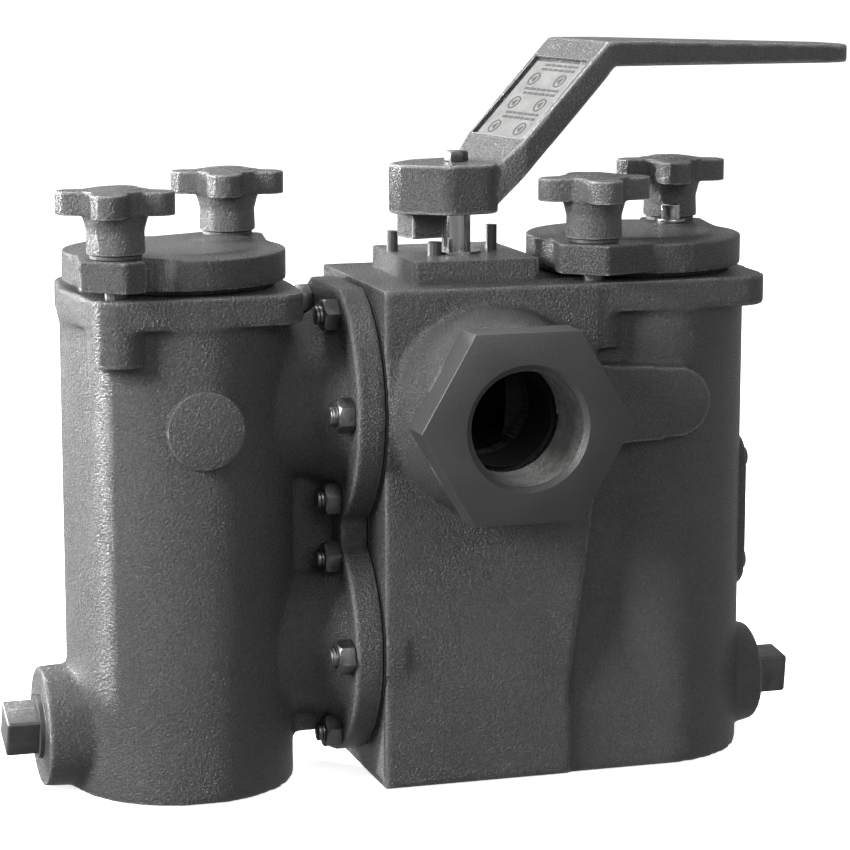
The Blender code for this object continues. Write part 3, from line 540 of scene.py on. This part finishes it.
def buildPort(way, height, name):
    # hexagon with a chamfered mouth
    face = way * abs(place["frontY"])
    back = face - way * block["hexDepth"]
    low, high = sorted((back, face))
    radius = block["hexFlats"] / 2 / math.cos(math.pi / 6)
    piece = addRod(name, radius, low, high, "y", (0, 0, height), 6, None, math.pi / 6)
    bevelAll(piece, 0.0005)
    low, high = sorted((back - way * 0.005, face + way * 0.005))
    cutter = addRod("cut", block["portBore"] + block["portWall"], low, high, "y", (0, 0, height), 96)
    first, last = block["portBore"] + block["mouthIn"], block["portBore"] + block["mouthOut"]
    low, high = sorted((face - way * block["mouthDeep"], face + way * block["mouthDeep"]))
    if way < 0:
        first, last = last, first
    mouth = addRod("mouth", first, low, high, "y", (0, 0, height), 96, last)
    carve(piece, [cutter, mouth])
    return dress(shade(piece, 30), shadedPortPaint, "housing", "casting")


thread = {"pitch": 0.00221, "turns": 13, "crest": 0.00085, "steps": 72, "from": 0.0030, "sleeveFrom": 0.032,
          "sleeveTo": 0.060}


def woundThread(name, radius, start, turns, pitch, crest, steps=24, facing=1):
    # a three-sided wire wound up the z axis, as the crest of a screw thread
    bpy.ops.mesh.primitive_circle_add(vertices=3, radius=crest, fill_type="NOTHING",
                                      location=(radius, 0, start),
                                      rotation=(math.pi / 2, facing * math.pi / 2, 0))
    piece = settle(bpy.context.object, name)
    step = piece.modifiers.new("wind", "SCREW")
    step.axis = "Z"
    step.angle = math.tau
    step.screw_offset = pitch
    step.iterations = turns
    step.steps = steps
    step.render_steps = steps
    bpy.ops.object.modifier_apply(modifier="wind")
    bpy.ops.object.mode_set(mode="EDIT")
    bpy.ops.mesh.select_all(action="SELECT")
    bpy.ops.mesh.remove_doubles(threshold=0.000001)
    bpy.ops.mesh.fill_holes(sides=0)
    bpy.ops.mesh.normals_make_consistent(inside=False)
    bpy.ops.object.mode_set(mode="OBJECT")
    return piece


def buildThread(way, height, name):
    start = abs(place["frontY"]) - thread["from"] - thread["pitch"] * thread["turns"]
    piece = woundThread(name, block["portBore"] + 0.0006, start, thread["turns"], thread["pitch"],
                        thread["crest"], thread["steps"], -1)
    piece.rotation_euler = (-way * math.pi / 2, 0, 0)
    piece.location = (0, 0, height)
    settle(piece, name)
    return dress(shade(piece, 30), shadedBoreSteel, "housing", "casting")


def buildShadeSleeve(way, height, name):
    # a near-black sleeve behind the thread, painted shade for the deep port bore
    depths = (thread["sleeveFrom"], thread["sleeveTo"])
    low, high = sorted(way * (abs(place["frontY"]) - depth) for depth in depths)
    outer = block["portClear"] - 0.0001
    sleeve = addRod(name, outer, low, high, "y", (0, 0, height), 96)
    carve(sleeve, [addRod("inner", outer - 0.0006, low - 0.001, high + 0.001, "y", (0, 0, height), 96)])
    return dress(shade(sleeve, 30), paintedShadeBlack, "housing", "casting")


buildMainCast()
print("main casting made")
for way, height, name in ((-1, place["upperZ"], "front"), (1, place["lowerZ"], "rear")):
    buildPort(way, height, name + "_port_hexagon")
    buildThread(way, height, name + "_port_thread")
    buildShadeSleeve(way, height, name + "_port_shade_sleeve")
print("ports made")


# covers, one shape turned half round for the second chamber
cover = {"radius": 0.0461, "lip": 0.0425, "low": 0.2101, "edge": 0.2120, "top": 0.2245, "earLow": 0.2126,
         "earTop": 0.2253, "earHalf": 0.0119, "earReach": 0.0122, "corner": 0.0030, "slot": 0.0053,
         "boss": (0.0230, 0.0140), "bossRadius": 0.0115, "bossTop": 0.2265, "rootRound": 0.040,
         "hole": 0.0051, "ventHole": 0.0053, "crown": (0.0370, 0.0335), "rise": 0.0012, "sweep": 22,
         "sweepSteps": 36, "voxel": 0.0008, "below": 0.20, "above": 0.24}


def earHull(way):
    spot = Vector((way * shell["studX"], way * shell["studY"]))
    out = spot.normalized()
    side = Vector((-out.y, out.x))
    low, top = cover["earLow"], cover["earTop"]
    posts = [addRod("post", cover["rootRound"], low, top - 0.0008, "z", (0, 0, 0), 96)]
    for along in (-0.004, cover["earReach"] - cover["corner"]):
        for across in (cover["corner"] - cover["earHalf"], cover["earHalf"] - cover["corner"]):
            at = spot + out * along + side * across
            posts.append(addRod("post", cover["corner"], low, top, "z", (at.x, at.y, 0), 24))
    return wrapHull("ear", posts)


def buildCover(centreX, turned, name):
    x, y = shell["studX"], shell["studY"]
    top, below, above = cover["top"], cover["below"], cover["above"]
    parts = [addRod("disc", cover["radius"], cover["edge"], top, "z", (0, 0, 0), 128)]
    parts.append(addRod("lip", cover["lip"], cover["low"], cover["edge"] + 0.001, "z", (0, 0, 0), 128))
    parts += [earHull(1), earHull(-1)]
    wide, narrow = cover["crown"]
    parts.append(addRod("crown", wide, top - 0.001, top + cover["rise"], "z", (0, 0, 0), 128, narrow))
    way = -1 if turned else 1
    bossAt = (way * cover["boss"][0], way * cover["boss"][1], 0)
    parts.append(addRod("boss", cover["bossRadius"], top - 0.004, cover["bossTop"], "z", bossAt, 64))
    piece = castSkin(gather(name, parts), cover["voxel"], 4)
    cutters = [addRod("hole", cover["hole"], below, above, "z", (x, y, 0), 32)]
    reach = 2 * math.hypot(x, y)
    start = math.atan2(-y, -x)
    for step in range(cover["sweepSteps"]):
        angle = start + math.radians(cover["sweep"]) * step / (cover["sweepSteps"] - 1)
        at = (x + reach * math.cos(angle), y + reach * math.sin(angle), 0)
        cutters.append(addRod("slot", cover["slot"], below, above, "z", at, 32))
    if turned:
        cutters.append(addRod("vent", cover["ventHole"], below, above, "z", bossAt, 32))
    carve(piece, cutters)
    piece.rotation_euler = (0, 0, math.pi if turned else 0)
    piece.location = (centreX, 0, 0)
    settle(piece, name)
    body = "right_cover" if turned else "left_cover"
    return dress(shade(piece), bodyPaint, body, "cover", body)


buildCover(place["leftX"], False, "left_lid")
buildCover(place["rightX"], True, "right_lid")
print("covers made")

# hand knobs, one cast and four copies
knob = {"low": 0.2272, "armsLow": 0.2428, "armsTop": 0.2524, "top": 0.2540, "stem": 0.0119, "waist": 0.0115,
        "reach": 0.0240, "root": 0.0088, "rootAt": 0.004, "lobe": 0.0070, "flare": 0.0135, "hub": 0.0138,
        "crown": (0.0130, 0.0100), "cap": (0.0102, 0.0050), "bore": 0.0051, "boreTop": 0.2485,
        "voxel": 0.0007,
        "angles": {"left_front": -20, "left_rear": -17, "right_front": -3, "right_rear": -14}}


def buildKnob():
    low, top, armsLow, armsTop = knob["low"], knob["top"], knob["armsLow"], knob["armsTop"]
    middleLine = (0, 0, 0)
    parts = [addRod("foot", knob["stem"], low, low + 0.010, "z", middleLine, 64, knob["waist"])]
    start, end = low + 0.009, armsLow + 0.001
    parts.append(addRod("flare", knob["waist"], start, end, "z", middleLine, 64, knob["flare"]))
    parts.append(addRod("hub", knob["hub"], armsLow, armsTop + 0.0004, "z", middleLine, 64))
    wide, narrow = knob["crown"]
    parts.append(addRod("crown", wide, armsTop - 0.001, top - 0.0006, "z", middleLine, 64, narrow))
    wide, narrow = knob["cap"]
    parts.append(addRod("cap", wide, top - 0.0010, top, "z", middleLine, 64, narrow))
    far = knob["reach"] - knob["lobe"]
    for quarter in range(4):
        turn = quarter * math.pi / 2
        ends = []
        for out, radius in ((knob["rootAt"], knob["root"]), (far, knob["lobe"])):
            at = (out * math.cos(turn), out * math.sin(turn), 0)
            ends.append(addRod("end", radius, armsLow, armsTop, "z", at, 32))
        parts.append(wrapHull("arm", ends))
    piece = castSkin(gather("knob_cast", parts), knob["voxel"], 4)
    carve(piece, [addRod("hole", knob["bore"], low - 0.001, knob["boreTop"], "z", middleLine, 32)])
    return shade(piece)


knobCast = buildKnob()
for name, angle in knob["angles"].items():
    pick(knobCast)
    bpy.ops.object.duplicate()
    copy = bpy.context.object
    copy.rotation_euler = (0, 0, math.radians(angle))
    copy.location = (middle(name + "_stud").x, middle(name + "_stud").y, 0)
    settle(copy, name + "_star_knob")
    dress(copy, knobPaint, name + "_knob", "knob", name + "_knob")
bpy.data.objects.remove(knobCast, do_unlink=True)
print("knobs made")

# changeover lever, in its own X and Z, then turned to its rest angle
lever = {"angle": math.radians(12), "low": 0.2360, "top": 0.2570, "tip": 0.3022, "reach": 0.1940,
         "foot": (0.0090, 0.2565), "head": (0.0590, 0.3060), "labelAt": 0.0375, "labelLong": 0.0212,
         "labelWide": 0.0195, "stemTop": 0.2500, "sink": 0.0019, "voxel": 0.0009, "bore": 0.0065,
         "screwBore": 0.0033, "lugX": (-0.0210, -0.0050), "lugY": (-0.0004, 0.0144), "lugLow": 0.2248,
         "hub": ((-0.0205, 0.0020, 0.0095), (-0.0100, -0.0100, 0.0090), (0.0040, -0.0115, 0.0085),
                 (-0.0100, 0.0100, 0.0090), (0.0040, 0.0115, 0.0085)),
         "slope": ((0.0060, 0.2370, 0.2400, 0.0185), (0.0095, 0.2400, 0.2560, 0.0185),
                   (0.0200, 0.2520, 0.2670, 0.0240), (0.0590, 0.2915, 0.3055, 0.0250),
                   (0.0640, 0.2968, 0.3066, 0.0250)),
         "gripBars": ((0.0600, 0.2962, 0.3068, 0.0250), (0.0800, 0.2966, 0.3064, 0.0236)),
         "tipRound": 0.0110, "tipSide": 0.0060, "tipBack": 0.0095, "tipThick": 0.0078}


def crossBar(x, low, high, half):
    return addBox("bar", (x - 0.0004, -half, low), (x + 0.0004, half, high))


def turnLever(piece, name):
    piece.rotation_euler = (0, 0, lever["angle"])
    return settle(piece, name)


def armFrame():
    # matrix of the sloping face: x up the arm, y across, z out of it
    foot = Vector((lever["foot"][0], 0, lever["foot"][1]))
    head = Vector((lever["head"][0], 0, lever["head"][1]))
    along = (head - foot).normalized()
    out = Vector((-along.z, 0, along.x))
    spot = foot + along * lever["labelAt"]
    across = out.cross(along)
    return Matrix.Translation(spot) @ Matrix((along, across, out)).transposed().to_4x4()


def layOnArm(piece, name):
    piece.matrix_world = Matrix.Rotation(lever["angle"], 4, "Z") @ armFrame() @ piece.matrix_world
    return settle(piece, name)


def buildLever():
    low, top = lever["low"], lever["top"]
    posts = [addRod("post", radius, low, top, "z", (x, y, 0), 48) for x, y, radius in lever["hub"]]
    parts = [wrapHull("hub", posts)]
    lugX, lugY = lever["lugX"], lever["lugY"]
    parts.append(addBox("lug", (lugX[0], lugY[0], lever["lugLow"]), (lugX[1], lugY[1], low + 0.002)))
    parts.append(wrapHull("slope", [crossBar(*bar) for bar in lever["slope"]]))
    grip = [crossBar(*bar) for bar in lever["gripBars"]]
    tipTop = lever["tip"] - 0.0002
    for side in (-1, 1):
        at = (lever["reach"] - lever["tipBack"], side * lever["tipSide"], 0)
        grip.append(addRod("tip", lever["tipRound"], tipTop - lever["tipThick"], tipTop, "z", at, 48))
    parts.append(wrapHull("grip", grip))
    piece = castSkin(gather("lever", parts), lever["voxel"], 4)
    cutters = [addRod("stem", lever["bore"], 0.22, lever["stemTop"], "z", (0, 0, 0), 48)]
    cutters.append(addRod("screw", lever["screwBore"], 0.2490, 0.27, "z", (0, 0, 0), 32))
    carve(piece, cutters)
    turnLever(piece, "lever_cast")
    recess = addBox("recess", (-lever["labelLong"] - 0.0012, -lever["labelWide"] - 0.0020, -lever["sink"]),
                    (lever["labelLong"] + 0.0016, lever["labelWide"] + 0.0020, 0.003))
    carve(piece, [layOnArm(recess, "recess")])
    return dress(shade(piece), leverPaint, "valve_rotor", "lever", "handle")


label = {"thick": 0.0006, "ink": 0.00025, "row": 0.0138, "ringAt": -0.0028, "ringSide": 0.0105,
         "ringOut": 0.0036, "ringIn": 0.0029, "arrow": 0.0021, "lines": ((0.0058, 0), (0.0083, 2)),
         "dashes": (0.0038, 0.0022, 0.0047, 0.0030), "dashHalf": 0.0006, "dashGap": 0.0011, "margin": 0.0040}
labelWhite = metal("labelWhite", (0.125, 0.125, 0.122), 0.45, metallic=0.2)
labelInk = dull("labelInk", (0.022, 0.022, 0.022), 0.6, 900.0, 0.00001)


def addDashes(x, first, low, high):
    # six dashes of uneven length across the plate
    across = label["margin"] - lever["labelWide"]
    half = label["dashHalf"]
    made = []
    for dash in range(6):
        reach = across + label["dashes"][(dash + first) % 4]
        made.append(addBox("dash", (x - half, across, low), (x + half, reach, high)))
        across = reach + label["dashGap"]
    return made


def buildLabel():
    # plain plate, each of its three rows two ringed arrows under two lines of dashes
    long, wide, sink = lever["labelLong"], lever["labelWide"], lever["sink"]
    plate = addBox("plate", (-long, -wide, -sink), (long, wide, label["thick"] - sink))
    layOnArm(bevelAll(plate, 0.00012, 2), "label_sheet")
    dress(plate, labelWhite, "valve_rotor", "label", "label_plate")
    marks = []
    low = label["thick"] - 0.0001 - sink
    high = low + label["ink"]
    for row in (-1, 0, 1):
        x = row * label["row"] + label["ringAt"]
        for side in (-1, 1):
            at = (x, side * label["ringSide"], 0)
            ring = addRod("ring", label["ringOut"], low, high, "z", at, 32)
            marks.append(carve(ring, [addRod("inner", label["ringIn"], -0.0030, 0.0010, "z", at, 32)]))
            marks.append(addRod("arrow", label["arrow"], low, high, "z", at, 3))
        for up, first in label["lines"]:
            marks += addDashes(x + up, first + row, low, high)
    ink = gather("label_marks", marks)
    layOnArm(ink, "label_marks")
    return dress(shade(ink, 30), labelInk, "valve_rotor", "label")


clamp = {"shank": 0.0030, "head": 0.0045, "turn": 0.3, "dome": (0.0078, 0.0042), "edge": 0.00025}


def buildClampScrew():
    low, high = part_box("clamp_bolt")
    top = lever["top"]
    corner = clamp["head"] / math.cos(math.pi / 6)
    shank = addRod("shank", clamp["shank"], low.z, top + 0.001, "z", (0, 0, 0), 32)
    head = addRod("head", corner, top + 0.0003, high.z, "z", (0, 0, 0), 6, None, clamp["turn"])
    wide, narrow = clamp["dome"]
    dome = addRod("dome", wide, top, high.z + 0.0002, "z", (0, 0, 0), 48, narrow)
    carve(head, [dome], "INTERSECT")
    bevelAll(head, clamp["edge"], 2)
    carve(head, [shank], "UNION")
    head.name = "clamp_screw"
    return dress(shade(head, 25), platedSteel, "valve_rotor", "fastener", "clamp_bolt")


buildLever()
buildLabel()
buildClampScrew()
print("lever made")

# nuts and studs of the joint, one set copied to each place
stud = {"radius": 0.0040, "flats": 0.0127, "height": 0.0066, "pitch": 0.0014, "crown": (0.0118, 0.0062),
        "edge": 0.0003, "coreLow": -0.0120, "proud": 0.0028, "crest": 0.0006, "turns": 2}


def buildNut():
    # stands along z at the origin, its seat at z = 0 and the stud's end at the top
    corner = stud["flats"] / 2 / math.cos(math.pi / 6)
    nut = addRod("nut", corner, 0, stud["height"], "z", (0, 0, 0), 6)
    wide, narrow = stud["crown"]
    crown = addRod("crown", wide, -0.0001, stud["height"] + 0.0001, "z", (0, 0, 0), 48, narrow)
    carve(nut, [crown], "INTERSECT")
    bevelAll(nut, stud["edge"], 2)
    end = stud["height"] + stud["proud"]
    core = addRod("core", stud["radius"] - 0.0002, stud["coreLow"], end, "z", (0, 0, 0), 32)
    bevelAll(core, 0.0005)
    wound = woundThread("wound", stud["radius"] - 0.0003, stud["height"] - 0.001, stud["turns"],
                        stud["pitch"], stud["crest"])
    return shade(gather("nut", [nut, core, wound]), 30)


nutMade = buildNut()
for index in range(12):
    node = f"flange_stud_{index + 1:02d}"
    low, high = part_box(node)
    pick(nutMade)
    bpy.ops.object.duplicate()
    copy = bpy.context.object
    spin = Matrix.Rotation(0.4 * (index % 3) + 0.2 * index, 4, "Z")
    toJoint = Matrix.Rotation(-math.pi / 2, 4, "Y")
    seat = Vector((place["plateX"] - shell["plate"] - 0.0003, (low.y + high.y) / 2, (low.z + high.z) / 2))
    copy.matrix_world = Matrix.Translation(seat) @ toJoint @ spin
    settle(copy, f"joint_nut_{index + 1:02d}")
    dress(copy, platedSteel, "housing", "fastener", node)
bpy.data.objects.remove(nutMade, do_unlink=True)
print("nuts made")


# square-headed plugs
plug = {"hole": 0.0130, "head": 0.0119, "headLong": 0.0150, "lap": 0.0016, "edge": 0.0013,
        "tilt": {"left": 69, "right": 52}}
vent = {"shank": 0.0049, "collar": 0.0062, "thick": 0.0016, "head": 0.0050, "turn": 0.2}


def buildDrainPlug(way, side):
    low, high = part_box(side + "_drain_plug")
    inner, tip = (high.x, low.x) if way < 0 else (low.x, high.x)
    face = tip - way * plug["headLong"]
    ends = sorted((inner, face + way * plug["lap"]))
    shank = addRod("shank", plug["hole"], ends[0], ends[1], "x", (0, 0, place["drainZ"]), 64)
    ends = sorted((face + way * 0.0002, tip))
    tilt = math.radians(plug["tilt"][side])
    head = addRod("head", plug["head"], ends[0], ends[1], "x", (0, 0, place["drainZ"]), 4, None, tilt)
    bevelAll(head, plug["edge"], 4)
    carve(shank, [head], "UNION")
    shank.name = side + "_square_plug"
    return dress(shade(shank, 30), darkSteel, "housing", "plug", side + "_drain_plug")


def buildVentPlug():
    low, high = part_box("vent_plug")
    at = middle("vent_plug")
    spot = (at.x, at.y, 0)
    seat = cover["bossTop"]
    shank = addRod("shank", vent["shank"], low.z, seat, "z", spot, 32)
    collar = addRod("collar", vent["collar"], seat + 0.0001, seat + vent["thick"], "z", spot, 48)
    bevelAll(collar, 0.0003)
    head = addRod("head", vent["head"], seat + 0.001, high.z, "z", spot, 4, None, vent["turn"])
    bevelAll(head, 0.0006)
    carve(shank, [collar, head], "UNION")
    shank.name = "vent_square_plug"
    return dress(shade(shank, 30), brightSteel, "right_cover", "bright_steel", "vent_plug")


buildDrainPlug(-1, "left")
buildDrainPlug(1, "right")
buildVentPlug()
print("plugs made")


# perforated baskets
basket = {"holesRound": 60, "holesUp": 40, "wire": 0.00112, "radius": 0.0306, "inset": 0.001, "floor": 0.0015,
          "rim": 0.0375, "rimBore": 0.0298, "rimThick": 0.0022, "rimEdge": 0.0005}


def buildBasket(side):
    low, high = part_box(side + "_basket")
    x = middle(side + "_basket").x
    radius, inset = basket["radius"], basket["inset"]
    tall = high.z - low.z - 2 * inset
    bpy.ops.mesh.primitive_cylinder_add(vertices=basket["holesRound"], radius=radius, depth=tall,
                                        end_fill_type="NOTHING", location=(x, 0, (low.z + high.z) / 2))
    mesh = settle(bpy.context.object, "mesh")
    bpy.ops.object.mode_set(mode="EDIT")
    for step in range(1, basket["holesUp"]):
        bpy.ops.mesh.select_all(action="SELECT")
        height = low.z + inset + tall * step / basket["holesUp"]
        bpy.ops.mesh.bisect(plane_co=(x, 0, height), plane_no=(0, 0, 1))
    bpy.ops.object.mode_set(mode="OBJECT")
    step = mesh.modifiers.new("holes", "WIREFRAME")
    step.thickness = basket["wire"]
    bpy.ops.object.modifier_apply(modifier="holes")
    bottom = addRod("bottom", radius + 0.0003, low.z, low.z + basket["floor"], "z", (x, 0, 0), 64)
    rim = addRod("rim", basket["rim"], high.z - basket["rimThick"], high.z, "z", (x, 0, 0), 96)
    carve(rim, [addRod("hole", basket["rimBore"], high.z - 0.01, high.z + 0.01, "z", (x, 0, 0), 96)])
    piece = gather(side + "_strainer", [mesh, bottom, bevelAll(rim, basket["rimEdge"])])
    return dress(shade(piece, 40), stainless, "housing", "basket", side + "_basket")


for side in ("left", "right"):
    buildBasket(side)
print("baskets made")


# camera, floor and light
view = {"place": (-0.3821, -1.2064, 0.3680), "turn": 16.98, "tilt": 10.04, "lens": 127.06}
stage = {"sky": 0.36, "floorGlow": 0.80, "floorTone": 0.93, "floorSize": 80}
lights = {
    "keyLight": {"spot": (-1.5, -0.30, 0.80), "target": (-0.05, 0, 0.14), "size": (0.40, 0.7), "power": 62},
    "rimLight": {"spot": (-1.25, 1.15, 0.50), "target": (-0.08, 0, 0.14), "size": (0.20, 0.6), "power": 75},
    "topLight": {"spot": (-0.3, 0.9, 1.5), "target": (0, 0, 0.2), "size": (0.9, 0.5), "power": 22},
    "frontLight": {"spot": (0.2, -2.2, 1.3), "target": (0, 0, 0.12), "size": (1.4, 1.0), "power": 20},
}


def setCamera():
    data = bpy.data.cameras.new("camera")
    data.lens = view["lens"]
    data.sensor_width = 36.0
    data.clip_start = 0.05
    camera = bpy.data.objects.new("camera", data)
    bpy.context.scene.collection.objects.link(camera)
    camera.location = view["place"]
    camera.rotation_euler = (math.radians(90 - view["tilt"]), 0, math.radians(-view["turn"]))
    bpy.context.scene.camera = camera


def addLight(name, spot, target, size, power):
    data = bpy.data.lights.new(name, "AREA")
    data.shape = "RECTANGLE"
    data.size, data.size_y = size
    data.energy = power
    light = bpy.data.objects.new(name, data)
    bpy.context.scene.collection.objects.link(light)
    light.location = spot
    light.rotation_euler = (Vector(target) - Vector(spot)).to_track_quat("-Z", "Y").to_euler()


def setStage():
    bpy.ops.mesh.primitive_plane_add(size=stage["floorSize"], location=(0, 0, -0.0005))
    floor = bpy.context.object
    floor.name = "floor"
    paint, tree, shader = newMaterial("floorPaint")
    shader.inputs["Base Color"].default_value = (*grey(stage["floorTone"]), 1)
    shader.inputs["Roughness"].default_value = 0.9
    shader.inputs["Emission Color"].default_value = (1, 1, 1, 1)
    shader.inputs["Emission Strength"].default_value = stage["floorGlow"]
    floor.data.materials.append(paint)
    floor.visible_diffuse = False
    floor.visible_glossy = False
    world = bpy.data.worlds.new("studio")
    bpy.context.scene.world = world
    world.use_nodes = True
    world.node_tree.nodes["Background"].inputs["Color"].default_value = (1, 1, 1, 1)
    world.node_tree.nodes["Background"].inputs["Strength"].default_value = stage["sky"]
    bpy.context.scene.view_settings.view_transform = "Standard"
    for name, look in lights.items():
        addLight(name, **look)


setCamera()
setStage()
